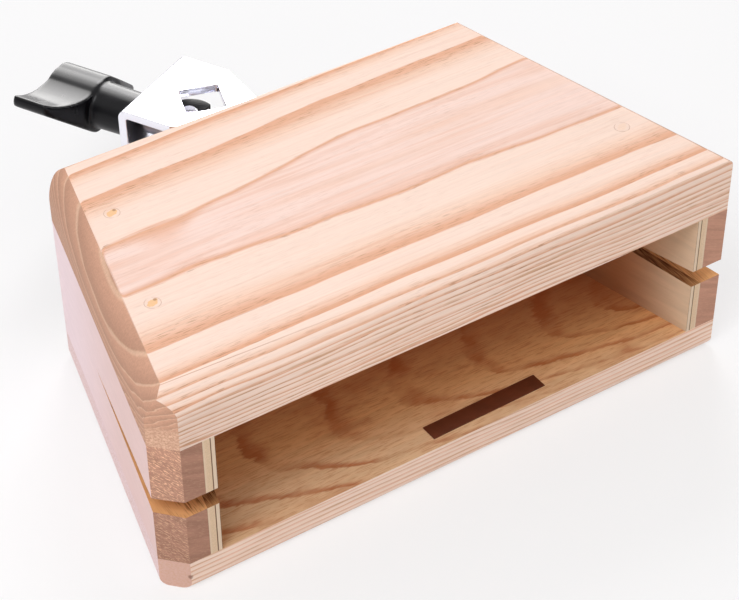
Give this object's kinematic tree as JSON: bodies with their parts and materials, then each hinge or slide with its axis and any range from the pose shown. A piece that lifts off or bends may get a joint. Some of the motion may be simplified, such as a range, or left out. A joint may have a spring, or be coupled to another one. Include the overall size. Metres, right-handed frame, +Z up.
{
  "type": "woodblock",
  "caption": "Wooden percussion block with a cavity open at the front, tapering saw slots in both side walls, and a swivelling steel rod clamp with a wing bolt behind it.",
  "frame": {"origin": "middle of the block's underside", "axes": "+Z up, -Y out of the cavity's open front, +Y to the clamp behind, +X to the block's right side seen from the front"},
  "size_m": [0.1984, 0.1974, 0.074],
  "materials": {
    "top_wood": "pale ash, sanded, thin clear lacquer",
    "bottom_wood": "golden brown board, sanded",
    "wall_wood": "end grain at the front, pale pinkish sides, sanded",
    "back_wood": "dark brown board",
    "plywood": "pale plywood, bare edges",
    "label_paper": "brown paper, bare",
    "wood_filler": "sanded filler",
    "chromed_steel": "bright chrome over steel",
    "plain_steel": "zinc plated",
    "black_nylon": "satin moulded nylon",
    "black_plastic": "glossy moulded plastic"
  },
  "bodies": {
    "block": {"top_plate": "top_wood", "bottom_plate": "bottom_wood", "left_wall": "wall_wood", "right_wall": "wall_wood", "back_wall": "back_wood", "left_liner": "plywood", "right_liner": "plywood", "floor_label": "label_paper", "top_brads": "plain_steel", "top_plugs": "wood_filler", "bottom_brads": "plain_steel", "bottom_plugs": "wood_filler", "holder_base": "chromed_steel", "base_screws": "plain_steel"},
    "holder": {"clamp_bracket": "chromed_steel", "pivot_bolt": "plain_steel", "nylon_washers": "black_nylon", "steel_washer": "plain_steel", "lock_nut": "plain_steel"},
    "jaw": {"rod_jaw": "black_nylon", "jaw_pin": "chromed_steel"},
    "wing": {"wing_stud": "plain_steel", "wing_handle": "black_plastic"}
  },
  "joints": [
    {"name": "swivel", "type": "hinge", "parent": "block", "child": "holder", "pos_m": [0, 0.0642, 0.0443], "axis": [0, 0, 1], "range_deg": [-88, 32]},
    {"name": "jaw_slide", "type": "slide", "parent": "holder", "child": "jaw", "axis": [-0.4695, 0.8829, 0], "range_m": [-0.0005, 0.0035]},
    {"name": "wing_turn", "type": "hinge", "parent": "jaw", "child": "wing", "pos_m": [-0.01789, 0.09784, 0.0443], "axis": [-0.4695, 0.8829, 0], "range_deg": [-144, 1008]}
  ],
  "couplings": [
    {"joint": "wing_turn", "follows": "jaw_slide", "rad_per_m": 5026.5}
  ]
}
